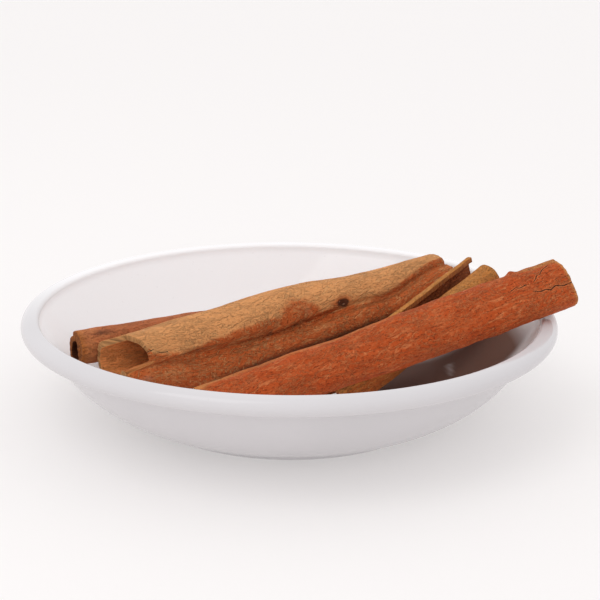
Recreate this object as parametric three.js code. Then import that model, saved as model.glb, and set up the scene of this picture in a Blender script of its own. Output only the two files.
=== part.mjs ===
import * as THREE from 'three';

// Four cassia cinnamon quills lying in a shallow round porcelain dish.
// Millimetres, +Z up. Each quill is one sheet of bark that dried rolled up, so its section
// is a band of even thickness whose middle line curls by named turns and radii.

// Dish
const RIM_RADIUS = 90;
const RIM_HEIGHT = 35;
const MOUTH_RADIUS = 84;
const LIP_RADIUS = 2.9;
const MOUTH_EDGE_RADIUS = 1.5;
const COLLAR_RADIUS = 82;
const FOOT_INNER_RADIUS = 46.5;
const FOOT_OUTER_RADIUS = 50.5;
const FOOT_HEIGHT = 1.6;
const FLOOR_RADIUS = 46;
const FLOOR_HEIGHT = 5;
const FOOT_CHAMFER = 0.8;
const DISH_SEGMENTS = 64;
const WALL_STEPS = 8;
const LIP_STEPS = 6;
const MOUTH_EDGE_STEPS = 2;

// Quills
const LENGTH_STEPS = 8;
const SAME_POINT = 0.001;

const porcelain = new THREE.MeshStandardMaterial({ color: 0xf1eff0, roughness: 0.12, metalness: 0 });

function bark(color) {
  return new THREE.MeshStandardMaterial({ color, roughness: 0.8, metalness: 0 });
}

/** Points of an arc in the (radius, height) plane, angles in degrees. */
function arc(centerX, centerY, radius, fromAngle, toAngle, steps) {
  return Array.from({ length: steps + 1 }, (_, i) => {
    const angle = THREE.MathUtils.degToRad(THREE.MathUtils.lerp(fromAngle, toAngle, i / steps));
    return new THREE.Vector2(centerX + radius * Math.cos(angle), centerY + radius * Math.sin(angle));
  });
}

function bezier(...points) {
  return new THREE.CubicBezierCurve(...points.map(([x, y]) => new THREE.Vector2(x, y))).getPoints(WALL_STEPS);
}

function makeDish() {
  const outside = bezier(
    [FOOT_OUTER_RADIUS + FOOT_CHAMFER, FOOT_HEIGHT],
    [FOOT_OUTER_RADIUS + 15, FOOT_HEIGHT + 5],
    [COLLAR_RADIUS - 5, 15],
    [COLLAR_RADIUS, RIM_HEIGHT - 2 * LIP_RADIUS],
  );
  const lip = arc(RIM_RADIUS - LIP_RADIUS, RIM_HEIGHT - LIP_RADIUS, LIP_RADIUS, -90, 90, LIP_STEPS);
  const mouthEdge = arc(
    MOUTH_RADIUS + MOUTH_EDGE_RADIUS,
    RIM_HEIGHT - MOUTH_EDGE_RADIUS,
    MOUTH_EDGE_RADIUS,
    90,
    180,
    MOUTH_EDGE_STEPS,
  );
  const inside = bezier(
    [MOUTH_RADIUS - 0.2, RIM_HEIGHT - MOUTH_EDGE_RADIUS - 1],
    [COLLAR_RADIUS - 7, 17],
    [FLOOR_RADIUS + 19, FLOOR_HEIGHT + 1.5],
    [FLOOR_RADIUS, FLOOR_HEIGHT],
  );
  const profile = [
    new THREE.Vector2(0, FOOT_HEIGHT),
    new THREE.Vector2(FOOT_INNER_RADIUS - FOOT_CHAMFER, FOOT_HEIGHT),
    new THREE.Vector2(FOOT_INNER_RADIUS, 0),
    new THREE.Vector2(FOOT_OUTER_RADIUS, 0),
    ...outside,
    ...lip,
    ...mouthEdge,
    ...inside,
    new THREE.Vector2(0, FLOOR_HEIGHT),
  ];
  const dish = new THREE.Mesh(new THREE.LatheGeometry(profile, DISH_SEGMENTS), porcelain);
  dish.name = 'dish';
  dish.rotation.x = Math.PI / 2;
  return dish;
}

/**
 * Middle line of a curled sheet. Each stretch turns left by `turn` degrees while its radius of
 * curvature goes from `from` to `to`; a negative turn bends the other way. The line begins at the
 * point `start`, at `heading` degrees, and each stretch is cut into as many steps as `steps` says.
 */
function curlLine({ start, heading, stretches }, steps) {
  const points = [new THREE.Vector2(...start)];
  let direction = THREE.MathUtils.degToRad(heading);
  stretches.forEach(({ turn, from, to }, stretch) => {
    const count = steps[stretch];
    const step = THREE.MathUtils.degToRad(turn) / count;
    for (let i = 0; i < count; i++) {
      const radius = THREE.MathUtils.lerp(from, to, (i + 0.5) / count);
      const chord = 2 * radius * Math.sin(Math.abs(step) / 2);
      direction += step / 2;
      const offset = new THREE.Vector2(Math.cos(direction), Math.sin(direction)).multiplyScalar(chord);
      points.push(points.at(-1).clone().add(offset));
      direction += step / 2;
    }
  });
  return points;
}

/** Closed outline of the bark: the middle line moved half a thickness to each side. */
function barkOutline(curl, steps, thickness) {
  const line = curlLine(curl, steps);
  const side = (sign) => line.map((point, i) => {
    const ahead = line[Math.min(i + 1, line.length - 1)];
    const behind = line[Math.max(i - 1, 0)];
    const along = ahead.clone().sub(behind).normalize();
    return point.clone().addScaledVector(new THREE.Vector2(along.y, -along.x), sign * thickness / 2);
  });
  return [...side(1), ...side(-1).reverse()];
}

/** Outline at `s` (0 to 1) of the length, between evenly spaced outlines. */
function outlineAt(outlines, s) {
  if (outlines.length === 1) return outlines[0];
  const place = s * (outlines.length - 1);
  const before = Math.min(Math.floor(place), outlines.length - 2);
  const share = THREE.MathUtils.smoothstep(place - before, 0, 1);
  return outlines[before].map((point, i) => point.clone().lerp(outlines[before + 1][i], share));
}

/** Frame of a quill: X to the back and level, Y up, Z from its left end to its right end. */
function quillFrame(left, right) {
  const along = right.clone().sub(left).normalize();
  const back = new THREE.Vector3(0, 0, 1).cross(along).normalize();
  const up = along.clone().cross(back);
  return new THREE.Matrix4().makeBasis(back, up, along).setPosition(left);
}

/** One quill. Its section goes smoothly from one of `curls` to the next along its length. */
function makeQuill({ name, color, left, right, curls, steps, thickness, leftCut, rightCut }) {
  const start = new THREE.Vector3(...left);
  const end = new THREE.Vector3(...right);
  const length = start.distanceTo(end);
  const outlines = curls.map((curl) => barkOutline(curl, steps, thickness));
  const geometry = new THREE.ExtrudeGeometry(new THREE.Shape(outlines[0]), {
    depth: length, steps: LENGTH_STEPS, bevelEnabled: false,
  });
  const sections = Array.from({ length: LENGTH_STEPS + 1 }, (_, i) => outlineAt(outlines, i / LENGTH_STEPS));
  const position = geometry.attributes.position;
  for (let i = 0; i < position.count; i++) {
    const corner = new THREE.Vector2(position.getX(i), position.getY(i));
    const index = outlines[0].findIndex((point) => point.distanceTo(corner) < SAME_POINT);
    const s = position.getZ(i) / length;
    const { x, y } = sections[Math.round(s * LENGTH_STEPS)][index];
    const z = s * length + (1 - s) ** 2 * leftCut(x, y) - s ** 2 * rightCut(x, y);
    position.setXYZ(i, x, y, z);
  }
  const quill = new THREE.Mesh(geometry, bark(color));
  quill.name = name;
  quill.applyMatrix4(quillFrame(start, end));
  return quill;
}

// Each quill runs from its left end to its right end; `curls` are its sections at even steps between.
// The cuts shorten the ends, by so many millimetres at each point of the section.
const QUILLS = [
  {
    name: 'quill_back',
    color: 0xa65a2c,
    left: [-70.98, -13.8, 23.94],
    right: [21.5, 61, 17.4],
    steps: [34],
    curls: [
      {
        start: [3.65, 4.05],
        heading: 150,
        stretches: [
          { turn: 540, from: 5.5, to: 2.6 },
        ],
      },
    ],
    thickness: 1.5,
    leftCut: (x, y) => 0.12 * x,
    rightCut: () => 0,
  },
  {
    name: 'quill_double',
    color: 0xb9773f,
    left: [-58.14, -23.4, 16.89],
    right: [57.7, 49.6, 28.4],
    steps: [18, 5, 22],
    curls: [
      {
        start: [4, -3.3],
        heading: 20,
        stretches: [
          { turn: 236, from: 7.6, to: 7.6 },
          { turn: -35, from: 4, to: 4 },
          { turn: 430, from: 3.35, to: 0.75 },
        ],
      },
      {
        start: [2.68, -4.1],
        heading: 2,
        stretches: [
          { turn: 284, from: 7.9, to: 7.9 },
          { turn: -74, from: 3, to: 3 },
          { turn: 430, from: 4.1, to: 1.5 },
        ],
      },
      {
        start: [1.81, -4.08],
        heading: -4,
        stretches: [
          { turn: 285, from: 8.5, to: 8.5 },
          { turn: -66, from: 3, to: 3 },
          { turn: 430, from: 4, to: 1.4 },
        ],
      },
      {
        start: [0.38, -3.43],
        heading: -8,
        stretches: [
          { turn: 272, from: 7.3, to: 7.3 },
          { turn: -55, from: 3, to: 3 },
          { turn: 430, from: 4.5, to: 1.9 },
        ],
      },
      {
        start: [0.68, -2.24],
        heading: -8,
        stretches: [
          { turn: 232, from: 6.6, to: 6.6 },
          { turn: -43, from: 3, to: 3 },
          { turn: 430, from: 3.4, to: 0.8 },
        ],
      },
    ],
    thickness: 1.8,
    leftCut: (x, y) => 4 * Math.exp(-((x + 5) ** 2 + (y - 9) ** 2) / 30),
    rightCut: (x) => 0.15 * (x + 8),
  },
  {
    name: 'quill_front',
    color: 0xa9532a,
    left: [-27.57, -42.2, 13.17],
    right: [93.27, -7.4, 46.1],
    steps: [38],
    curls: [
      {
        start: [2.9, 6],
        heading: 155,
        stretches: [
          { turn: 600, from: 7.4, to: 3.7 },
        ],
      },
      {
        start: [2.9, 6.3],
        heading: 155,
        stretches: [
          { turn: 600, from: 7.5, to: 3.8 },
        ],
      },
      {
        start: [3.2, 7.2],
        heading: 155,
        stretches: [
          { turn: 600, from: 8.4, to: 4.6 },
        ],
      },
      {
        start: [3.2, 7.2],
        heading: 155,
        stretches: [
          { turn: 600, from: 8, to: 4.4 },
        ],
      },
    ],
    thickness: 1.8,
    leftCut: () => 0,
    rightCut: (x, y) => 1.2 + 0.3 * (y + 8),
  },
  {
    name: 'quill_open',
    color: 0xa3693a,
    left: [24, -12, 14],
    right: [70.6, 32.6, 36.4],
    steps: [6, 2, 11, 2, 6, 3],
    curls: [
      {
        start: [5.2, 6.6],
        heading: 12,
        stretches: [
          { turn: -106, from: 2.8, to: 2.8 },
          { turn: -4, from: 72, to: 72 },
          { turn: -186, from: 7, to: 7 },
          { turn: -4, from: 30, to: 30 },
          { turn: -76, from: 3.4, to: 3.4 },
          { turn: -24, from: 6, to: 6 },
        ],
      },
      {
        start: [4.2, 6.4],
        heading: 6,
        stretches: [
          { turn: -100, from: 2.8, to: 2.8 },
          { turn: -4, from: 76, to: 76 },
          { turn: -186, from: 6.8, to: 6.8 },
          { turn: -4, from: 30, to: 30 },
          { turn: -88, from: 3.2, to: 3.2 },
          { turn: -50, from: 5, to: 5 },
        ],
      },
    ],
    thickness: 1.6,
    leftCut: () => 0,
    rightCut: () => 0,
  },
];

const group = new THREE.Group();
group.add(makeDish());
for (const quill of QUILLS) {
  group.add(makeQuill(quill));
}

// The origin is the middle of the underside of the whole.
const box = new THREE.Box3().setFromObject(group, true);
const middle = box.getCenter(new THREE.Vector3());
group.position.set(-middle.x, -middle.y, -box.min.z);

export default group;
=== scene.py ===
"""Four cassia cinnamon quills in a shallow porcelain dish.

Each quill starts as a flat strip of bark with its own thickness, which is then rolled up round the
curl of its section. A point of the strip is known by how far it lies along the stick, across the
strip and below its outer face, and the bark's colours and grain follow those distances.
"""

import math
from types import SimpleNamespace

import bmesh
import bpy
import numpy as np
from bpy.props import FloatProperty, FloatVectorProperty, IntProperty, PointerProperty
from mathutils import Matrix, Vector, noise


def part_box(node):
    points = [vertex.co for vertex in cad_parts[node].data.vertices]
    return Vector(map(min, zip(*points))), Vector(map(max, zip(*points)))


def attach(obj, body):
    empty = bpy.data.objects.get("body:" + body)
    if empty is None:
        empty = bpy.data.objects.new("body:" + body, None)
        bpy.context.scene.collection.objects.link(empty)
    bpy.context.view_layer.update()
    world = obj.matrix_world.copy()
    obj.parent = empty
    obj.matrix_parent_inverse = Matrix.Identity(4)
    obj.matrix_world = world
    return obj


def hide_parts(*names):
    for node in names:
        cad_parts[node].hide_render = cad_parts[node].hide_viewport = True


bl_info = {
    "name": "Cinnamon quills in a dish",
    "version": (1, 0, 0),
    "blender": (4, 5, 0),
    "location": "View3D > Sidebar > Cinnamon",
    "description": "Rolls cinnamon quills from strips of bark and turns the dish they lie in",
    "category": "Add Mesh",
}

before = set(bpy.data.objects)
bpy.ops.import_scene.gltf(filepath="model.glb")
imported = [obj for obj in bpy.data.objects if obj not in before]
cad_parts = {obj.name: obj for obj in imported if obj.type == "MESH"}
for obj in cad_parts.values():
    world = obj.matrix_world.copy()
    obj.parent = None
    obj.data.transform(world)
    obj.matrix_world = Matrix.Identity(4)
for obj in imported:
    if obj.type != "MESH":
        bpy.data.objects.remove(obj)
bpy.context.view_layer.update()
MM = 0.001

# Dish profile, in millimetres
RIM_RADIUS = 90.0
RIM_HEIGHT = 35.0
LIP_RADIUS = 2.9
MOUTH_RADIUS = 84.0
MOUTH_EDGE_RADIUS = 1.5
COLLAR_RADIUS = 82.0
FOOT_INNER_RADIUS = 46.5
FOOT_OUTER_RADIUS = 50.5
FOOT_HEIGHT = 1.6
FOOT_CHAMFER = 0.8
FLOOR_RADIUS = 46.0
FLOOR_HEIGHT = 5.0

# Steps that each stretch of a quill's curl is cut into
STRETCH_STEPS = 200

# Stands for no crack nearby, in millimetres
FAR_AWAY = 9.0

# How far the ends and the long free edges of a strip wander, how far in from a free edge that
# reaches, and how much the edges are eased, in millimetres
END_WANDER = 0.35
EDGE_WANDER = 0.7
EDGE_REACH = 3.0
EASED_EDGE = 0.22

# Edges of the flat strip that turn by more than this are its corners, in radians
CORNER_ANGLE = 1.0

# Heights of the sheet's lumps and of the ridges and grain on its outer face, in millimetres
LUMP_HEIGHT = 0.22
RIDGE_HEIGHT = 0.2
GRAIN_HEIGHT = 0.07

# The camera circles a point this high above the floor, in metres, and looks a little beside it
AIM_HEIGHT = 0.03485
AIM_RIGHT = math.radians(0.46)
AIM_UP = math.radians(-0.27)
CAMERA_ROLL = math.radians(0.502)


# ---------------------------------------------------------------- shader maths


class Number:
    """A number on a socket. Arithmetic on it adds Math nodes to the finish it belongs to."""

    def __init__(self, finish, socket):
        self.finish = finish
        self.socket = socket

    def _math(self, operation, *values):
        return self.finish.number("ShaderNodeMath", {"operation": operation}, dict(enumerate(values)))

    def __add__(self, other):
        return self._math("ADD", self, other)

    def __sub__(self, other):
        return self._math("SUBTRACT", self, other)

    def __rsub__(self, other):
        return self._math("SUBTRACT", other, self)

    def __mul__(self, other):
        return self._math("MULTIPLY", self, other)

    def __truediv__(self, other):
        return self._math("DIVIDE", self, other)

    def __abs__(self):
        return self._math("ABSOLUTE", self)

    __radd__ = __add__
    __rmul__ = __mul__

    def most(self, other):
        return self._math("MAXIMUM", self, other)

    def rise(self, low, high):
        """0 below `low`, 1 above `high`, smooth between; falls instead where low is above high."""
        return self.finish.number(
            "ShaderNodeMapRange",
            {"interpolation_type": "SMOOTHSTEP"},
            {"Value": self, "From Min": low, "From Max": high},
        )


class Finish:
    """A procedural material under construction."""

    def __init__(self, name):
        self.material = bpy.data.materials.new(name)
        self.material.use_nodes = True
        self.tree = self.material.node_tree
        self.tree.nodes.clear()

    def node(self, kind, settings=(), inputs=()):
        """Adds a node, makes its settings, then fills its sockets with values or links."""
        node = self.tree.nodes.new(kind)
        for name, value in dict(settings).items():
            setattr(node, name, value)
        for key, value in dict(inputs).items():
            socket = self._socket(node.inputs, key)
            if isinstance(value, Number):
                value = value.socket
            if isinstance(value, bpy.types.NodeSocket):
                self.tree.links.new(value, socket)
            else:
                socket.default_value = value
        return node

    @staticmethod
    def _socket(sockets, key):
        if isinstance(key, int):
            return sockets[key]
        return next(s for s in sockets if s.enabled and s.name == key)

    def number(self, kind, settings=(), inputs=(), output=None):
        node = self.node(kind, settings, inputs)
        outputs = [s for s in node.outputs if s.enabled]
        socket = outputs[0] if output is None else self._socket(outputs, output)
        return Number(self, socket)

    def attribute(self, name):
        return self.number("ShaderNodeAttribute", {"attribute_name": name}, output="Fac")

    def flat_place(self, map_name):
        """Along and across on the strip before it was rolled up, in metres, as one vector."""
        return self.node("ShaderNodeUVMap", {"uv_map": map_name}).outputs[0]

    def scaled(self, vector, *factors):
        return self.node(
            "ShaderNodeVectorMath", {"operation": "MULTIPLY"}, {0: vector, 1: factors}
        ).outputs[0]

    def shifted(self, vector, other):
        return self.node("ShaderNodeVectorMath", {"operation": "ADD"}, {0: vector, 1: other}).outputs[0]

    def noise(self, place, scale, detail=3.0, roughness=0.5):
        return self.number(
            "ShaderNodeTexNoise",
            {},
            {"Vector": place, "Scale": scale, "Detail": detail, "Roughness": roughness},
        )

    def noise_color(self, place, scale, detail=2.0):
        node = self.node(
            "ShaderNodeTexNoise", {}, {"Vector": place, "Scale": scale, "Detail": detail}
        )
        return node.outputs["Color"]

    def mix(self, first, second, factor):
        """The colour `first` where factor is 0, `second` where it is 1."""
        node = self.node(
            "ShaderNodeMix",
            {"data_type": "RGBA", "clamp_factor": True},
            {"Factor": factor, "A": first, "B": second},
        )
        return self._socket(node.outputs, "Result")

    def bump(self, height, distance, strength=1.0):
        return self.node(
            "ShaderNodeBump", {}, {"Height": height, "Distance": distance, "Strength": strength}
        ).outputs[0]

    def surface(self, **inputs):
        shader = self.node(
            "ShaderNodeBsdfPrincipled",
            {},
            {name.replace("_", " "): value for name, value in inputs.items()},
        )
        output = self.tree.nodes.new("ShaderNodeOutputMaterial")
        self.tree.links.new(shader.outputs[0], output.inputs["Surface"])
        return self.material


def linear(red, green, blue):
    """A colour given in 0 to 255 display values, as the linear values that the shader takes."""
    channels = []
    for value in (red, green, blue):
        share = value / 255
        channels.append(share / 12.92 if share <= 0.04045 else ((share + 0.055) / 1.055) ** 2.4)
    return (*channels, 1.0)


def darker(colour, share):
    """The colour with only this share of its light."""
    return (*(channel * share for channel in colour[:3]), 1.0)


# ---------------------------------------------------------------- pieces in general


def link(name, data):
    """An object for the mesh, light or camera, in the scene."""
    thing = bpy.data.objects.new(name, data)
    bpy.context.scene.collection.objects.link(thing)
    return thing


def new_piece(name, bm, material, *, replaces, slot):
    """Turns a finished bmesh into a piece that stands for its CAD node."""
    mesh = bpy.data.meshes.new(name)
    bm.to_mesh(mesh)
    bm.free()
    mesh.materials.append(material)
    piece = link(name, mesh)
    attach(piece, "root")
    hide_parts(replaces)
    return piece


def smooth_step(value, low, high):
    share = np.clip((np.asarray(value, float) - low) / (high - low), 0, 1)
    return share * share * (3 - 2 * share)


def fall(value, low, high):
    """1 below `low`, 0 above `high`, smooth between."""
    return 1 - smooth_step(value, low, high)


def bell(value, centre, width):
    return np.exp(-(((value - centre) / width) ** 2))


def spot(along, across, centre, size):
    """1 at a place on the strip, fading to 0 a little beyond `size` millimetres from it each way."""
    return bell(along, centre[0], size[0]) * bell(across, centre[1], size[1])


def crack_line(along, across, points):
    """Signed distance to a crack through the given places on the strip, and how near its ends are."""
    best = np.full(len(along), FAR_AWAY)
    signed = np.full(len(along), FAR_AWAY)
    for (a0, c0), (a1, c1) in zip(points, points[1:]):
        way = np.array((a1 - a0, c1 - c0))
        length = np.hypot(*way)
        way /= length
        run = (along - a0) * way[0] + (across - c0) * way[1]
        side = (across - c0) * way[0] - (along - a0) * way[1]
        past = np.maximum(np.maximum(-run, run - length), 0)
        away = np.hypot(past, side)
        nearer = away < best
        best = np.where(nearer, away, best)
        signed = np.where(nearer, side, signed)
    return signed, best


def ripple(seed, octaves, *coordinates):
    """Fractal noise, about -1 to 1, at each row of the given coordinates."""
    lift = Vector((seed * 17.3, seed * 5.1, seed * 9.7))
    columns = [np.asarray(c, float) for c in coordinates]
    while len(columns) < 3:
        columns.append(np.zeros_like(columns[0]))
    return np.array([noise.fractal(Vector(row) + lift, 1.0, 2.0, octaves) for row in zip(*columns)])


# ---------------------------------------------------------------- dish


def arc(centre_radius, centre_height, radius, start, end, steps):
    angles = [math.radians(start + (end - start) * i / steps) for i in range(steps + 1)]
    return [(centre_radius + radius * math.cos(a), centre_height + radius * math.sin(a)) for a in angles]


def bezier(points, steps):
    path = []
    for i in range(steps + 1):
        t = i / steps
        weights = ((1 - t) ** 3, 3 * t * (1 - t) ** 2, 3 * t * t * (1 - t), t**3)
        path.append(tuple(sum(w * p[k] for w, p in zip(weights, points)) for k in (0, 1)))
    return path


def dish_profile():
    """Half section of the dish from the middle of its underside round to the middle of its floor."""
    outside = bezier(
        [
            (FOOT_OUTER_RADIUS + FOOT_CHAMFER, FOOT_HEIGHT),
            (FOOT_OUTER_RADIUS + 15, FOOT_HEIGHT + 5),
            (COLLAR_RADIUS - 5, 15),
            (COLLAR_RADIUS, RIM_HEIGHT - 2 * LIP_RADIUS - 0.6),
        ],
        40,
    )
    throat = bezier(
        [
            outside[-1],
            (COLLAR_RADIUS + 0.15, RIM_HEIGHT - 2 * LIP_RADIUS),
            (COLLAR_RADIUS + 1.2, RIM_HEIGHT - 2 * LIP_RADIUS),
            (RIM_RADIUS - LIP_RADIUS, RIM_HEIGHT - 2 * LIP_RADIUS),
        ],
        8,
    )
    lip = arc(RIM_RADIUS - LIP_RADIUS, RIM_HEIGHT - LIP_RADIUS, LIP_RADIUS, -90, 90, 20)
    mouth_edge = arc(
        MOUTH_RADIUS + MOUTH_EDGE_RADIUS,
        RIM_HEIGHT - MOUTH_EDGE_RADIUS,
        MOUTH_EDGE_RADIUS,
        90,
        180,
        8,
    )
    inside = bezier(
        [
            (MOUTH_RADIUS - 0.2, RIM_HEIGHT - MOUTH_EDGE_RADIUS - 1),
            (COLLAR_RADIUS - 7, 17),
            (FLOOR_RADIUS + 19, FLOOR_HEIGHT + 1.5),
            (FLOOR_RADIUS, FLOOR_HEIGHT),
        ],
        40,
    )
    foot = [
        (0, FOOT_HEIGHT),
        (20, FOOT_HEIGHT),
        (FOOT_INNER_RADIUS - FOOT_CHAMFER - 0.6, FOOT_HEIGHT),
        (FOOT_INNER_RADIUS - FOOT_CHAMFER, FOOT_HEIGHT - 0.3),
        (FOOT_INNER_RADIUS - 0.3, 0.2),
        (FOOT_INNER_RADIUS + 0.3, 0),
        (FOOT_OUTER_RADIUS - 0.5, 0),
        (FOOT_OUTER_RADIUS, 0.4),
    ]
    floor = [(FLOOR_RADIUS * share, FLOOR_HEIGHT) for share in (0.8, 0.6, 0.4, 0.2, 0)]
    return [*foot, *outside, *throat[1:], *lip[1:], *mouth_edge, *inside, *floor]


def make_dish(settings):
    low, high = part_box("dish")
    centre = ((low + high) / 2).to_2d()
    bm = bmesh.new()
    ring = [bm.verts.new((radius * MM, 0, height * MM)) for radius, height in dish_profile()]
    edges = [bm.edges.new(pair) for pair in zip(ring, ring[1:])]
    bmesh.ops.spin(
        bm,
        geom=[*ring, *edges],
        cent=(0, 0, 0),
        axis=(0, 0, 1),
        angle=math.tau,
        steps=settings.facets,
        use_merge=True,
    )
    bmesh.ops.remove_doubles(bm, verts=bm.verts, dist=0.00001)
    bmesh.ops.recalc_face_normals(bm, faces=bm.faces)
    bm.normal_update()
    # painted shade and painted light on the glaze, kept at each point
    shade = bm.verts.layers.float.new("shade")
    white = bm.verts.layers.float.new("white")
    for vert in bm.verts:
        vert[white], vert[shade] = glaze_tone(vert.co / MM, vert.normal)
    bmesh.ops.translate(bm, verts=bm.verts, vec=(*centre, 0))
    for face in bm.faces:
        face.smooth = True
    return new_piece("porcelain_dish", bm, glazed_porcelain(settings), replaces="dish", slot="porcelain")


def glaze_tone(place, normal):
    """How far the glaze is painted lighter at a place, standing in for light, and how much painted brown
    shade of the quills above lies there.
    """
    x, y, z = place
    # the glaze that faces down, outside the dish, keeps the darker plain glaze colour
    faces_up = normal.z > 0.05
    if not faces_up:
        return 0.0, 0.0
    # the rim is painted lighter towards the back, standing in for light
    if place.to_2d().length > MOUTH_RADIUS:
        return float(smooth_step(y, -30, 50)), 0.0
    # inside the bowl the glaze is painted at its lightest; painted shade makes it brown below the front
    # quill, where it crosses the rim, fading out below the rim
    behind_front_quill = smooth_step(x, 16, 28) * smooth_step(y, -16, -4) * fall(y, 22, 33)
    below_rim = np.interp(z, (22, 25, 28, 30.5, 32.5), (1, 0.8, 0.5, 0.22, 0))
    brown = behind_front_quill * below_rim * (1 - 0.3 * painted_reflection_streak(x, y))
    # painted shade on the glaze that shows between the left ends of the back and double quills
    shade_under_left_ends = 0.5 * bell(x, -64, 7) * bell(y, 6, 7)
    return 1.0, float(brown + shade_under_left_ends)


def painted_reflection_streak(x, y):
    """A painted reflection: a pale streak that lightens the painted shade on the glaze, wider towards its
    far end.
    """
    near_end, far_end, middle = 7, 18, 57.2
    if not near_end < y < far_end:
        return 0.0
    half_width = 0.5 + 0.07 * (y - near_end - 1)
    along_streak = smooth_step(y, near_end, near_end + 2) * fall(y, far_end - 1.5, far_end)
    return along_streak * bell(x, middle, half_width)


def glazed_porcelain(settings):
    """White glaze with faint clouds and pinholes, painted lighter where light falls and painted brown
    where the quills shade it: clear and glossy, but dull under the painted shade.
    """
    finish = Finish("glazed porcelain")
    place = finish.node("ShaderNodeTexCoord").outputs["Object"]
    glaze = (*settings.glaze_color, 1)
    speck = (*(c * k for c, k in zip(glaze, (0.72, 0.69, 0.64))), 1)
    cloud = finish.noise(place, 18, detail=2)
    pinholes = finish.noise(place, 900, detail=1).rise(0.73, 0.79)
    # painted shade: how brown the glaze is painted under the quills
    brown = finish.attribute("shade") * (0.94 + 0.1 * cloud)
    colour = finish.mix(glaze, darker(glaze, 0.955), cloud.rise(0.35, 0.7))
    # painted light: the glaze is lighter inside the bowl and towards the back of the rim
    colour = finish.mix(colour, (*settings.lit_bowl_color, 1), finish.attribute("white"))
    colour = finish.mix(colour, speck, pinholes * 0.12)
    colour = finish.mix(colour, (*settings.shade_color, 1), brown)
    waves = finish.noise(place, 60, detail=1)
    return finish.surface(
        Base_Color=colour,
        Roughness=settings.glaze_roughness + 0.05 * cloud,
        Normal=finish.bump(waves, 0.00012, 0.35),
        IOR=1.5,
        Specular_IOR_Level=0.0,
        Coat_Weight=0.75 - 0.72 * brown,
        Coat_Roughness=0.06,
        Coat_IOR=1.5,
    )


# ---------------------------------------------------------------- quills


def curl_points(start, heading, stretches):
    """Middle line of a curled strip, in millimetres: point, heading and length so far at each step.

    Each stretch turns left by so many degrees while its radius goes from one value to another, and
    a negative turn bends the other way.
    """
    place, way, run = np.array(start, float), math.radians(heading), 0.0
    rows = [(*place, way, run)]
    for turn, first, last in stretches:
        step = math.radians(turn) / STRETCH_STEPS
        for i in range(STRETCH_STEPS):
            radius = first + (last - first) * (i + 0.5) / STRETCH_STEPS
            chord = 2 * radius * math.sin(abs(step) / 2)
            way += step / 2
            place = place + chord * np.array((math.cos(way), math.sin(way)))
            way += step / 2
            run += chord
            rows.append((*place, way, run))
    return np.array(rows)


def quill_frame(left, right):
    """Place of a quill in the dish: X to the back and level, Y up, Z from its left to its right end."""
    low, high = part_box("dish")
    middle = (low + high) / 2
    middle.z = low.z
    along = (Vector(right) - Vector(left)).normalized()
    back = Vector((0, 0, 1)).cross(along).normalized()
    up = along.cross(back)
    turned = Matrix((back, up, along)).transposed().to_4x4()
    return Matrix.Translation(middle + Vector(left) * MM) @ turned, (Vector(right) - Vector(left)).length


class Curl:
    """The section of a quill at each place along the stick: a strip's middle line, rolled up."""

    def __init__(self, stations, outside=1):
        tables = np.array([curl_points(*station) for station in stations])
        self.x, self.y, self.way = np.moveaxis(tables[:, :, :3], 2, 0)
        self.run = tables[:, :, 3].mean(0)
        self.width = self.run[-1]
        self.outside = outside

    def at(self, across, share):
        """Point on the middle line and the way out from it, across the strip and a share along it."""
        x, y, way = (self._read(table, across, share) for table in (self.x, self.y, self.way))
        out = self.outside * np.stack((np.sin(way), -np.cos(way)), axis=1)
        return np.stack((x, y), axis=1), out

    def _read(self, table, across, share):
        rows = np.array([np.interp(across, self.run, row) for row in table])
        if len(rows) == 1:
            return rows[0]
        position = np.clip(share, 0, 1) * (len(rows) - 1)
        before = np.minimum(position.astype(int), len(rows) - 2)
        step = smooth_step(position - before, 0, 1)
        each = np.arange(len(position))
        return rows[before, each] * (1 - step) + rows[before + 1, each] * step


def flat_strip(length, width, thickness, rows, columns):
    """A flat strip of bark: X along, Y across, outer face at 0 and inner face below, edges eased."""
    bm = bmesh.new()
    bmesh.ops.create_grid(bm, x_segments=rows, y_segments=columns, size=0.5)
    bmesh.ops.scale(bm, vec=(length, width, 1), verts=bm.verts)
    bmesh.ops.translate(bm, vec=(length / 2, width / 2, 0), verts=bm.verts)
    outer = bm.faces[:]
    grown = bmesh.ops.extrude_face_region(bm, geom=outer, use_keep_orig=True)
    moved = [item for item in grown["geom"] if isinstance(item, bmesh.types.BMVert)]
    bmesh.ops.translate(bm, vec=(0, 0, -thickness), verts=moved)
    bmesh.ops.recalc_face_normals(bm, faces=bm.faces)
    corners = [e for e in bm.edges if len(e.link_faces) == 2 and e.calc_face_angle() > CORNER_ANGLE]
    bmesh.ops.bevel(
        bm,
        geom=corners,
        offset=EASED_EDGE,
        affect="EDGES",
        segments=2,
        profile=0.5,
        material=-1,
    )
    return bm


# Values kept at each point of the strip: how deep it lies, how red-brown its bark is, how dark from
# stains and painted shade, how pale, how yellow-brown or lit by a painted highlight, how far to one side
# of the nearest crack it lies, and how far from that crack
PAINTED = ("depth_share", "ruddy", "stain_and_shade", "bleach", "ochre_and_highlight", "crack", "crack_away")


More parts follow.
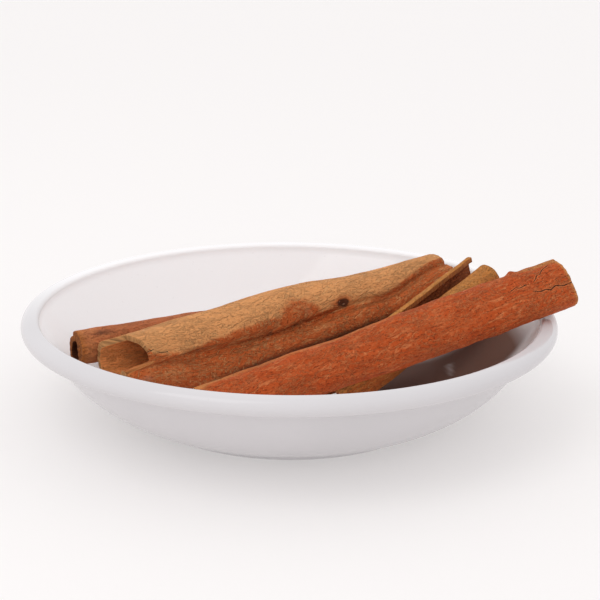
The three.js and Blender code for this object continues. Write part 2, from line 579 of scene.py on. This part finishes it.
def record_strip(bm, quill, flat):
    """Keeps each point's place on the flat strip, and paints the bark's marks there."""
    along, across, depth = flat[:, 0], flat[:, 1], -flat[:, 2]
    values = quill["paint"](along, across)
    values["depth_share"] = depth / quill["thickness"]
    cracks = [crack_line(along, across, points) for points in quill.get("cracks", [])]
    if cracks:
        nearest = np.argmin([away for _, away in cracks], axis=0)
        each = np.arange(len(along))
        values["crack"] = np.array([signed for signed, _ in cracks])[nearest, each]
        values["crack_away"] = np.array([away for _, away in cracks])[nearest, each]
    for name in PAINTED:
        layer = bm.verts.layers.float.new(name)
        missing = FAR_AWAY if name.startswith("crack") else 0.0
        for vert, value in zip(bm.verts, values.get(name, np.full(len(along), missing))):
            vert[layer] = value

    strip_map = bm.loops.layers.uv.new("strip")
    bm.verts.index_update()
    for face in bm.faces:
        face.smooth = True
        for loop in face.loops:
            loop[strip_map].uv = flat[loop.vert.index, :2] * MM


def roll_up(bm, quill, curl, length, place):
    """Moves each point of the flat strip to its place on the rolled quill."""
    flat = np.array([v.co for v in bm.verts], float)
    record_strip(bm, quill, flat)
    along, across, depth = flat[:, 0], flat[:, 1], -flat[:, 2]
    share = along / length
    seed, thickness = quill["seed"], quill["thickness"]

    # free edges of the strip are a little ragged
    ragged = ripple(seed + 1, 3, along / 7, along * 0)
    reach = np.exp(-across / EDGE_REACH) - np.exp(-(curl.width - across) / EDGE_REACH)
    across_now = np.clip(across + EDGE_WANDER * ragged * reach, 0, curl.width)
    middle, out = curl.at(across_now, share)

    # the sheet is lumpy, and its outer face has ridges along the grain
    lumps = ripple(seed + 2, 2, along / 16, middle[:, 0] / 9, middle[:, 1] / 9)
    ridges = ripple(seed + 3, 3, along / 22 + across / 40, across / 2.4)
    grain = ripple(seed + 4, 2, along / 5 + across / 6, across / 0.9)
    outer = 1 - depth / thickness
    raised = RIDGE_HEIGHT * ridges + GRAIN_HEIGHT * grain + quill["relief"](along, across)
    lift = LUMP_HEIGHT * lumps + outer * raised
    section = middle + out * (thickness / 2 - depth + lift)[:, None]

    # the ends are sawn or snapped, and slightly ragged
    x, y = section[:, 0], section[:, 1]
    left_end = quill["left_cut"](x, y) + END_WANDER * ripple(seed + 5, 4, across / 3.2, depth / 3)
    right_end = quill["right_cut"](x, y) + END_WANDER * ripple(seed + 6, 4, across / 3.2, depth / 3)
    z = along + (1 - share) ** 2 * left_end - share**2 * right_end

    for vert, point in zip(bm.verts, np.stack((x, y, z), axis=1)):
        vert.co = place @ Vector(point * MM)
    bmesh.ops.recalc_face_normals(bm, faces=bm.faces)


def square_cut(x, y):
    """An end cut straight across."""
    return 0 * x


def plain_bark(along, across):
    """Bark with no relief of its own."""
    return 0 * along


# Paint and relief of each quill follow, at distances along the stick and across the strip in
# millimetres. Paint says how much of each mark there is, relief how high the outer face stands.


def paint_back(along, across):
    return {
        "ruddy": 0.85 - 0.5 * np.exp(-along / 9),
        "stain_and_shade": 0.5 * spot(along, across, (9.5, 5.6), (6.5, 1.7)),
        "ochre_and_highlight": 0.8 * np.exp(-along / 3.2),
    }


def relief_back(along, across):
    """A shallow bruise near the left end, and an outer edge that is worn thin."""
    return -0.25 * spot(along, across, (9, 5.8), (5, 1.5)) - 1.3 * np.exp(-across)


# Double quill: distances along the stick and, for each, across the strip to the crease between
# its two rolls and to the border where tan bark turns red-brown
CREASE = (
    (0, 26, 46, 59, 66, 81, 90, 113, 137),
    (33.5, 34, 34.8, 35.3, 34.4, 33.9, 33.8, 35, 34.5),
)
RUDDY_BORDER = (
    (0, 8, 18, 27, 37, 57, 66, 95, 112, 128, 137),
    (33, 33.4, 33, 31, 30, 30.3, 31.5, 34, 33, 31.5, 31),
)
BRUISE = (67, 32), (7.5, 3.6)


def paint_double(along, across):
    border = np.interp(along, *RUDDY_BORDER)
    ruddy = smooth_step(across, border - 1.2, border + 1.8) * (0.78 + 0.22 * smooth_step(along, 8, 30))
    bruise = spot(along, across, *BRUISE)
    knot_halo = spot(along, across, (85.6, 32.4), (5.5, 2.4))
    ochre_patches = spot(along, across, (78, 38.5), (9, 3)) + spot(along, across, (47, 39), (8, 2.5))
    torn_end = 1.5 * fall(along, 0.5, 0.9) * smooth_step(across, 31, 32) * fall(across, 41, 43)
    ruddy = np.maximum(ruddy, torn_end) - 0.25 * ochre_patches
    knot_hole = spot(along, across, (85.6, 32.1), (2, 0.9)) + spot(along, across, (87.4, 32.7), (1.4, 1))
    # painted shade along the lower side of the small roll, where it meets the front quill
    shaded_underside = smooth_step(across, 39.8, 42.5) * smooth_step(along, 20, 45)
    # painted shade in the crease between the two rolls
    crease_shade = np.interp(along, (20, 45, 95, 110), (0, 0.3, 0.3, 0))
    stain_and_shade = (
        1.25 * knot_hole
        + 0.3 * bruise
        + 0.6 * shaded_underside
        + 0.5 * spot(along, across, (56.5, 34.4), (1.6, 1.0))
        + crease_shade * bell(across, np.interp(along, *CREASE), 0.35)
    )
    bleach = (
        0.5 * spot(along, across, (6.2, 41), (3.4, 1.6))
        + 0.8 * spot(along, across, (55.3, 36), (0.8, 0.5))
        + 0.5 * spot(along, across, (26, 33), (1.4, 0.7))
        + 0.2 * spot(along, across, (70, 31), (2.2, 1.6))
        + 0.2 * bruise
        + 0.9 * spot(along, across, (86.9, 32.9), (0.5, 0.35))
        + 0.9 * spot(along, across, (85.0, 31.8), (0.6, 0.3))
    )
    # a painted highlight along the top of the small roll
    small_roll_highlight = smooth_step(along, 30, 60) * bell(across, 37, 1.3)
    return {
        "ruddy": np.maximum(ruddy, np.maximum(1.7 * bruise, 0.8 * knot_halo)),
        "stain_and_shade": np.clip(stain_and_shade, 0, 1),
        "bleach": np.clip(bleach, 0, 1),
        "ochre_and_highlight": 0.6 * np.exp(-along / 2.5) * smooth_step(across, 34, 37) + 0.42 * small_roll_highlight,
    }


def relief_double(along, across):
    """The crease between the rolls, the knot's pit on its swelling, and the bruise's swelling."""
    crease = np.interp(along, *CREASE)
    depth = np.interp(along, (0, 20, 40, 90, 108, 137), (0.2, 0.5, 1.0, 1.0, 0.3, 0.9))
    return (
        0.3 * depth
        - depth * bell(across, crease, 0.8)
        - 0.3 * depth * bell(across, crease, 2.6)
        - 1.3 * spot(along, across, (86, 32.2), (1.5, 1.0))
        + 0.45 * spot(along, across, (86, 31), (4.5, 2.2))
        + 0.8 * spot(along, across, (66.5, 32), (5.5, 2.6))
        - 0.4 * spot(along, across, (56.5, 34.2), (2, 1))
        + 0.3 * smooth_step(along, 3, 6) * spot(along, across, (14, 36), (10, 3))
    )


def broken_arch(x, y):
    """Left end of the double quill: the top and near side of its large roll have broken away."""
    large_roll = smooth_step(y, 3.6, 4.8)
    arch = 8.2 * fall(x, 3.4, 5.8) + 3.6 * fall(x, -6.5, 3)
    return arch * large_roll + 2.5 * fall(x, -2, 2) * (1 - large_roll)


def paint_front(along, across):
    right_end = 130
    # a painted highlight along the top of the stick
    top = fall(across, 2.5, 5.2) * fall(along, 60, 85)
    return {
        "ruddy": 1.0 - 0.5 * spot(along, across, (129, 2), (4, 3)),
        "stain_and_shade": 0.3 * spot(along, across, (42, 9.3), (2.4, 0.9))
        + 0.5 * spot(along, across, (58.5, 20.3), (3, 0.8))
        + 0.3 * spot(along, across, (78, 18), (16, 2.5)),
        "ochre_and_highlight": 0.75 * np.exp(-along / 5)
        + 0.5 * top
        + 0.9 * spot(along, across, (123, 2.2), (9, 1.6))
        + 1.3 * np.exp((along - right_end) / 0.9),
    }


def relief_front(along, across):
    """Long slanting folds, a flake that stands up on the outer edge, and a slit low on the side."""
    folds = ripple(71, 3, along / 11 - across / 14, across / 3.4)
    flake = 1.1 * spot(along, across, (113.5, 0.6), (1.5, 0.9))
    slit = 0.35 * spot(along, across, (58.5, 20.3), (3, 0.8))
    return 0.4 * folds + flake - slit


def paint_open(along, across):
    lips = fall(across, 2, 4.5) + smooth_step(across, 33, 36)
    return {
        "ruddy": 0.32 + 0.3 * smooth_step(across, 8, 16) - 0.25 * lips,
        "ochre_and_highlight": 0.55 * lips,
    }


# Each quill: its ends, in millimetres from the middle of the dish's underside; how its strip curls
# at stations from left to right, each with a start, a heading and stretches of turn with the first
# and last radius, in degrees and in millimetres from the line between the ends; how its ends are
# cut; what is painted and raised on it; and the strip's rows along and columns across.
QUILLS = {
    "quill_back": {
        "left": (-70.98, -13.8, 23.94),
        "right": (21.5, 61, 17.4),
        "seed": 11,
        "stations": [((3.65, 4.05), 150, [(540, 5.5, 2.6)])],
        "thickness": 1.9,
        "left_cut": lambda x, y: 0.12 * x,
        "right_cut": square_cut,
        "paint": paint_back,
        "relief": relief_back,
        "rows": 260,
        "columns": 160,
    },
    "quill_double": {
        "left": (-58.14, -23.4, 16.89),
        "right": (57.7, 49.6, 28.4),
        "seed": 23,
        "stations": [
            ((4, -3.3), 20, [(236, 7.6, 7.6), (-35, 4, 4), (430, 3.9, 1.4)]),
            ((2.68, -4.1), 2, [(284, 7.9, 7.9), (-74, 3, 3), (430, 4.5, 1.9)]),
            ((1.81, -4.08), -4, [(285, 8.5, 8.5), (-66, 3, 3), (430, 4, 1.4)]),
            ((0.38, -3.43), -8, [(272, 7.3, 7.3), (-55, 3, 3), (430, 4.5, 1.9)]),
            ((0.68, -2.24), -8, [(232, 6.6, 6.6), (-43, 3, 3), (430, 3.4, 0.8)]),
        ],
        "thickness": 1.95,
        "left_cut": broken_arch,
        "right_cut": lambda x, y: 0.15 * (x + 8),
        "paint": paint_double,
        "relief": relief_double,
        "cracks": [
            [(3.5, 33.2), (5.0, 33.6), (6.9, 33.6)],
            [(-1, 32.0), (0.6, 32.4), (1.4, 32.2)],
        ],
        "rows": 320,
        "columns": 148,
    },
    "quill_front": {
        "left": (-27.57, -42.2, 13.17),
        "right": (93.27, -7.4, 46.1),
        "seed": 37,
        "stations": [
            ((2.9, 6), 155, [(600, 7.4, 3.7)]),
            ((2.9, 6.3), 155, [(600, 7.5, 3.8)]),
            ((3.2, 7.2), 155, [(600, 8.4, 4.6)]),
            ((3.2, 7.2), 155, [(600, 8, 4.4)]),
        ],
        "thickness": 2.05,
        "left_cut": square_cut,
        "right_cut": lambda x, y: 1.2 + 0.12 * (y + 8),
        "paint": paint_front,
        "relief": relief_front,
        "cracks": [
            [(117.9, 8.2), (120.1, 6.8), (120.9, 6.9), (122.9, 5.4), (125.1, 4.6)],
            [(109.0, 8.8), (110.4, 8.4), (111.8, 9.0), (113.8, 8.7)],
            [
                (116.2, 11.3), (118.2, 11.9), (120.2, 11.8), (121.6, 12.4),
                (124, 11.7), (126.6, 12.5), (130, 12.3),
            ],
        ],
        "rows": 310,
        "columns": 150,
    },
    "quill_open": {
        "left": (24, -12, 14),
        "right": (70.6, 32.6, 36.4),
        "seed": 53,
        "stations": [
            (
                (5.2, 6.6),
                12,
                [
                    (-106, 2.8, 2.8), (-4, 72, 72), (-186, 7, 7),
                    (-4, 30, 30), (-76, 3.4, 3.4), (-24, 6, 6),
                ],
            ),
            (
                (4.2, 6.4),
                6,
                [
                    (-100, 2.8, 2.8), (-4, 76, 76), (-186, 6.8, 6.8),
                    (-4, 30, 30), (-88, 3.2, 3.2), (-50, 5, 5),
                ],
            ),
        ],
        "outside": -1,
        "thickness": 2.0,
        "left_cut": lambda x, y: -15 * smooth_step(y, -7, -1),
        "right_cut": square_cut,
        "paint": paint_open,
        "relief": plain_bark,
        "rows": 250,
        "columns": 150,
    },
}


def make_quill(node, settings):
    quill = QUILLS[node]
    kind = node.removeprefix("quill_")
    place, length = quill_frame(quill["left"], quill["right"])
    curl = Curl(quill["stations"], quill.get("outside", 1))
    bm = flat_strip(length, curl.width, quill["thickness"], quill["rows"], quill["columns"])
    roll_up(bm, quill, curl, length, place)
    return new_piece(kind + "_quill", bm, cassia_bark(kind, settings), replaces=node, slot="bark_" + kind)


def bark_patterns(finish, slant):
    """The noises that colour and roughen the bark, in repeats per metre along and across the strip."""
    flat = finish.flat_place("strip")

    # the fibres run along the stick but wander, so the strip's own grid is bent before it is read
    wander = finish.noise_color(finish.scaled(flat, 90, 210, 1), 1.0, detail=3)
    bent = finish.shifted(flat, finish.scaled(finish.shifted(wander, (-0.5, -0.5, 0)), 0.006, 0.0045, 0))
    skewed = finish.node(
        "ShaderNodeMapping",
        {"vector_type": "POINT"},
        {"Vector": bent, "Rotation": (0, 0, slant)},
    ).outputs[0]

    def pattern(place, along, across, detail, roughness=0.5):
        return finish.noise(finish.scaled(place, along, across, 1), 1.0, detail, roughness)

    def hairs(pattern_value, sharpness):
        """1 on the thin lines where the noise is at its middle value, 0 off them."""
        return (1 - abs(pattern_value - 0.5) * sharpness).most(0.0)

    patches = pattern(flat, 70, 110, 2)
    return SimpleNamespace(
        fibres=pattern(skewed, 260, 1500, 4, 0.65),
        threads=hairs(pattern(skewed, 300, 900, 4, 0.6), 22) * patches.rise(0.38, 0.62),
        streaks=hairs(pattern(skewed, 75, 430, 2), 30) * (1 - patches.rise(0.4, 0.6)),
        blotch=pattern(bent, 90, 190, 5, 0.62),
        mottle=pattern(bent, 420, 760, 4, 0.7),
        grit=finish.noise(flat, 2100, detail=3, roughness=0.7),
        pores=pattern(flat, 1100, 2100, 2).rise(0.6, 0.7),
        specks=finish.noise(finish.shifted(flat, (0.3, 0.3, 0)), 1300, detail=1).rise(0.64, 0.74),
    )


def outer_face(finish, settings, bark):
    """Tan to red-brown bark, dark in the hollows of its grain, with pale fibres lying on it."""
    tan = (*settings.tan_color, 1)
    thread = (*settings.thread_color, 1)
    ruddy = finish.attribute("ruddy") + (bark.blotch - 0.5) * 1.1 + (bark.mottle - 0.5) * 0.5
    redness = ruddy.rise(0.2, 0.8)
    # ochre tone of the bark, with painted highlights along the tops of the front quill and the small roll
    yellowness = (finish.attribute("ochre_and_highlight") + (bark.mottle - 0.5) * 0.6).rise(0.25, 0.75)
    colour = finish.mix(tan, (*settings.ruddy_color, 1), redness)
    colour = finish.mix(colour, (*settings.ochre_color, 1), yellowness)

    hollow = finish.mix(darker(tan, 0.5), (*settings.deep_color, 1), redness)
    depth = (bark.fibres - 0.5) * 0.9 + (bark.mottle - 0.5) * 1.9
    depth = depth + (bark.grit - 0.5) * 0.8 + (bark.blotch - 0.5) * 1.6
    colour = finish.mix(colour, hollow, depth.rise(-0.1, 0.95) * settings.mottle_strength)
    colour = finish.mix(colour, thread, (0 - depth).rise(0.0, 0.8) * 0.6)
    colour = finish.mix(colour, thread, bark.threads * settings.thread_strength)
    colour = finish.mix(colour, thread, bark.streaks * settings.thread_strength * 0.9)
    colour = finish.mix(colour, hollow, bark.pores * 0.25)
    return finish.mix(colour, thread, bark.specks * 0.7)


def marked(finish, colour, bark):
    """The colour with the bark's dark stains and painted shade, and pale bruises, on it."""
    stain_and_shade = (finish.attribute("stain_and_shade") * (0.6 + 0.8 * bark.mottle)).rise(0.15, 0.75)
    bruise = (finish.attribute("bleach") * (0.4 + 1.2 * bark.grit)).rise(0.2, 0.8)
    colour = finish.mix(colour, linear(58, 42, 32), stain_and_shade * 0.85)
    return finish.mix(colour, linear(194, 150, 120), bruise * 0.7)


def cracked(finish, colour, pale, bark):
    """The colour with dark cracks between pale borders on it, and where those cracks are."""
    width = (0.07 + 0.2 * (bark.mottle - 0.35)).most(0.04)
    widths_away = abs(finish.attribute("crack") + (bark.fibres - 0.5) * 0.5) / width
    beside = finish.attribute("crack_away").rise(0.9, 0.45)
    crack = widths_away.rise(1.3, 0.6) * beside
    colour = finish.mix(colour, pale, widths_away.rise(4.5, 2.5) * beside * 0.45)
    return finish.mix(colour, linear(30, 16, 10), crack), crack


def cassia_bark(kind, settings):
    """Dried bark: tan to red-brown with wavy fibres outside, smooth and dark inside, pale where cut."""
    finish = Finish("cassia bark " + kind)
    bark = bark_patterns(finish, settings.fibre_slant)
    colour = marked(finish, outer_face(finish, settings, bark), bark)
    colour, crack = cracked(finish, colour, (*settings.thread_color, 1), bark)

    # outer face 0, sawn or torn edge between, inner face 1; a torn edge in red bark stays red
    depth = finish.attribute("depth_share")
    inside = depth.rise(0.9, 0.99)
    edge = (depth.rise(0.04, 0.12) - inside) * (1 - finish.attribute("ruddy").rise(1.1, 1.4))
    inner = (*settings.inner_color, 1)
    cut = (*settings.cut_color, 1)
    inner_face = finish.mix(inner, darker(inner, 0.72), bark.fibres.rise(0.38, 0.66))
    cut_face = finish.mix(cut, darker(cut, 0.55), bark.grit.rise(0.42, 0.62))
    colour = finish.mix(colour, inner_face, inside)
    colour = finish.mix(colour, cut_face, edge)

    raised = bark.fibres * 0.55 + bark.mottle * 0.5 + bark.threads * 0.3 + bark.streaks * 0.4
    relief = raised + bark.grit * 0.35 - bark.pores * 0.5 - crack * 1.5
    return finish.surface(
        Base_Color=colour,
        Roughness=0.7 + 0.2 * bark.grit,
        Normal=finish.bump(relief, settings.grain_depth),
        Specular_IOR_Level=0.14,
        IOR=1.5,
    )


# ---------------------------------------------------------------- stage


def studio_paper(settings):
    finish = Finish("studio paper")
    place = finish.node("ShaderNodeTexCoord").outputs["Object"]
    tooth = finish.noise(place, 600, detail=2)
    return finish.surface(
        Base_Color=(*settings.floor_color, 1),
        Roughness=0.75 + 0.1 * tooth,
        Specular_IOR_Level=0.2,
        Emission_Color=(1.0, 0.985, 0.98, 1),
        Emission_Strength=settings.floor_glow,
    )


def make_floor(settings, foot):
    """A wide sheet of paper a hair below the dish's foot."""
    bm = bmesh.new()
    bmesh.ops.create_grid(bm, x_segments=8, y_segments=8, size=settings.floor_size / 2)
    bmesh.ops.translate(bm, verts=bm.verts, vec=foot - Vector((0, 0, 0.00005)))
    mesh = bpy.data.meshes.new("studio_floor")
    bm.to_mesh(mesh)
    bm.free()
    mesh.materials.append(studio_paper(settings))
    floor = link("studio_floor", mesh)


def make_lights(settings, foot):
    """Even light from all round, and a softbox above and to the front left."""
    world = bpy.data.worlds.new("white tent")
    world.use_nodes = True
    background = world.node_tree.nodes["Background"]
    background.inputs["Color"].default_value = (1, 0.995, 1, 1)
    background.inputs["Strength"].default_value = settings.tent_strength
    bpy.context.scene.world = world

    light = bpy.data.lights.new("key softbox", "AREA")
    light.shape = "SQUARE"
    light.size = 0.5
    light.energy = settings.key_power
    stands = Vector((-0.35, -0.35, 0.75))
    aims = Vector((0, 0, 0.02))
    turned = (aims - stands).to_track_quat("-Z", "Y").to_matrix().to_4x4()
    link("key softbox", light).matrix_world = Matrix.Translation(foot + stands) @ turned


def make_camera(settings, foot):
    camera = bpy.data.cameras.new("camera")
    camera.lens = settings.lens
    camera.sensor_width = 36
    camera.dof.use_dof = False
    back = settings.distance * math.cos(settings.elevation)
    height = settings.distance * math.sin(settings.elevation)
    holder = link("camera", camera)
    holder.matrix_world = (
        Matrix.Translation(foot + Vector((0, -back, AIM_HEIGHT + height)))
        @ Matrix.Rotation(-AIM_RIGHT, 4, "Z")
        @ Matrix.Rotation(math.pi / 2 - settings.elevation - AIM_UP, 4, "X")
        @ Matrix.Rotation(CAMERA_ROLL, 4, "Z")
    )
    bpy.context.scene.camera = holder


def make_stage(settings):
    low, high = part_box("dish")
    foot = Vector((*((low + high) / 2).to_2d(), low.z))
    make_floor(settings, foot)
    make_lights(settings, foot)
    make_camera(settings, foot)
    bpy.context.scene.view_settings.view_transform = "Standard"
    bpy.context.scene.view_settings.look = "None"


# ---------------------------------------------------------------- add-on


def colour_property(name, description, *rgb):
    return FloatVectorProperty(
        name=name,
        description=description,
        subtype="COLOR",
        size=3,
        min=0,
        max=1,
        default=linear(*rgb)[:3],
    )


class DishSettings(bpy.types.PropertyGroup):
    facets: IntProperty(name="Facets", description="Steps round the dish", default=224, min=24)
    glaze_color: colour_property("Glaze", "Colour of the porcelain's glaze", 213, 210, 212)
    # painted light: the lighter glaze colour inside the bowl
    lit_bowl_color: colour_property("Bowl", "Colour of the glaze inside the bowl", 247, 245, 246)
    # painted shade: the brown colour painted on the glaze under the quills
    shade_color: colour_property("Shade", "Glaze under the quill that crosses the rim", 112, 84, 74)
    glaze_roughness: FloatProperty(
        name="Glaze roughness", description="How much the glaze scatters", default=0.1, min=0, max=1
    )


def quill_settings(class_name, thread_strength, mottle_strength, **colours):
    """A settings group for one quill, with that quill's own colours as its defaults."""
    described = {
        "tan_color": ("Tan bark", "Outer bark where it is pale"),
        "ruddy_color": ("Ruddy bark", "Outer bark where it is red-brown"),
        "deep_color": ("Deep grain", "Dark grain and hollows of the outer bark"),
        "thread_color": ("Threads", "Pale fibres that lie on the bark"),
        "ochre_color": ("Ochre bark", "Outer bark near ends and lips"),
        "cut_color": ("Cut edge", "Bark where it is cut or torn"),
        "inner_color": ("Inner face", "Inner face of the rolled strip"),
    }
    fields = {key: colour_property(*described[key], *rgb) for key, rgb in colours.items()}
    fields["thread_strength"] = FloatProperty(
        name="Thread strength",
        description="How strongly the pale fibres show",
        default=thread_strength,
        min=0,
        max=1,
    )
    fields["mottle_strength"] = FloatProperty(
        name="Mottle strength",
        description="How dark the grain's hollows are",
        default=mottle_strength,
        min=0,
        max=1,
    )
    fields["fibre_slant"] = FloatProperty(
        name="Fibre slant",
        description="Angle of the fibres to the stick",
        default=math.radians(5),
        subtype="ANGLE",
    )
    fields["grain_depth"] = FloatProperty(
        name="Grain depth",
        description="Depth of the fine grain",
        default=0.001,
        min=0,
        unit="LENGTH",
    )
    return type(class_name, (bpy.types.PropertyGroup,), {"__annotations__": fields})


BackQuillSettings = quill_settings(
    "BackQuillSettings",
    thread_strength=0.4,
    mottle_strength=0.5,
    tan_color=(203, 130, 78),
    ruddy_color=(184, 106, 67),
    deep_color=(104, 42, 22),
    thread_color=(196, 124, 80),
    ochre_color=(178, 106, 52),
    cut_color=(166, 100, 54),
    inner_color=(96, 50, 28),
)
DoubleQuillSettings = quill_settings(
    "DoubleQuillSettings",
    thread_strength=0.65,
    mottle_strength=0.6,
    tan_color=(222, 154, 97),
    ruddy_color=(187, 92, 43),
    deep_color=(108, 50, 20),
    thread_color=(212, 158, 104),
    ochre_color=(184, 116, 62),
    cut_color=(208, 152, 98),
    inner_color=(250, 158, 92),
)
FrontQuillSettings = quill_settings(
    "FrontQuillSettings",
    thread_strength=0.9,
    mottle_strength=0.78,
    tan_color=(208, 120, 60),
    ruddy_color=(188, 82, 35),
    deep_color=(112, 34, 10),
    thread_color=(214, 128, 78),
    ochre_color=(202, 132, 74),
    cut_color=(204, 146, 94),
    inner_color=(126, 64, 36),
)
OpenQuillSettings = quill_settings(
    "OpenQuillSettings",
    thread_strength=0.4,
    mottle_strength=0.5,
    tan_color=(208, 132, 61),
    ruddy_color=(184, 97, 45),
    deep_color=(108, 56, 24),
    thread_color=(206, 150, 92),
    ochre_color=(190, 126, 66),
    cut_color=(184, 116, 66),
    inner_color=(172, 92, 50),
)


class StageSettings(bpy.types.PropertyGroup):
    floor_size: FloatProperty(
        name="Floor size", description="Side of the floor", default=9.0, unit="LENGTH"
    )
    floor_color: colour_property("Floor", "Colour of the studio paper", 205, 202, 201)
    floor_glow: FloatProperty(
        name="Floor glow", description="Light that the floor gives off", default=0.31, min=0
    )
    tent_strength: FloatProperty(
        name="Tent light", description="Light from all round", default=1.0, min=0
    )
    key_power: FloatProperty(
        name="Key light", description="Power of the key softbox", default=1.0, unit="POWER"
    )
    distance: FloatProperty(
        name="Camera distance", description="From the camera to the dish", default=0.45, unit="LENGTH"
    )
    elevation: FloatProperty(
        name="Camera elevation",
        description="Angle of the camera above the level of the rim",
        default=math.radians(17.041),
        subtype="ANGLE",
    )
    lens: FloatProperty(name="Lens", description="Focal length in millimetres", default=79.27)


SETTINGS = {
    "cinnamon_dish": DishSettings,
    "cinnamon_quill_back": BackQuillSettings,
    "cinnamon_quill_double": DoubleQuillSettings,
    "cinnamon_quill_front": FrontQuillSettings,
    "cinnamon_quill_open": OpenQuillSettings,
    "cinnamon_stage": StageSettings,
}


class CINNAMON_OT_dish(bpy.types.Operator):
    """Turn the porcelain dish"""

    bl_idname = "cinnamon.dish"
    bl_label = "Dish"

    def execute(self, context):
        make_dish(context.scene.cinnamon_dish)
        return {"FINISHED"}


class CINNAMON_OT_quills(bpy.types.Operator):
    """Roll the four quills from strips of bark"""

    bl_idname = "cinnamon.quills"
    bl_label = "Quills"

    def execute(self, context):
        for node in QUILLS:
            make_quill(node, getattr(context.scene, "cinnamon_" + node))
        return {"FINISHED"}


class CINNAMON_OT_stage(bpy.types.Operator):
    """Lay the floor and set the lights and camera"""

    bl_idname = "cinnamon.stage"
    bl_label = "Stage"

    def execute(self, context):
        make_stage(context.scene.cinnamon_stage)
        return {"FINISHED"}


class CINNAMON_PT_panel(bpy.types.Panel):
    """Buttons and settings for the cinnamon quills"""

    bl_idname = "CINNAMON_PT_panel"
    bl_label = "Cinnamon quills"
    bl_space_type = "VIEW_3D"
    bl_region_type = "UI"
    bl_category = "Cinnamon"

    def draw(self, context):
        for operator in OPERATORS:
            self.layout.operator(operator.bl_idname)
        for name, group in SETTINGS.items():
            column = self.layout.column(heading=name.replace("_", " "))
            for field in group.__annotations__:
                column.prop(getattr(context.scene, name), field)


OPERATORS = (CINNAMON_OT_dish, CINNAMON_OT_quills, CINNAMON_OT_stage)


def register():
    for cls in (*SETTINGS.values(), *OPERATORS, CINNAMON_PT_panel):
        bpy.utils.register_class(cls)
    for name, group in SETTINGS.items():
        setattr(bpy.types.Scene, name, PointerProperty(type=group))


def unregister():
    for name in SETTINGS:
        delattr(bpy.types.Scene, name)
    for cls in (CINNAMON_PT_panel, *reversed(OPERATORS), *reversed(SETTINGS.values())):
        bpy.utils.unregister_class(cls)


def main():
    register()
    for build in (bpy.ops.cinnamon.dish, bpy.ops.cinnamon.quills, bpy.ops.cinnamon.stage):
        build()


if __name__ == "__main__":
    main()
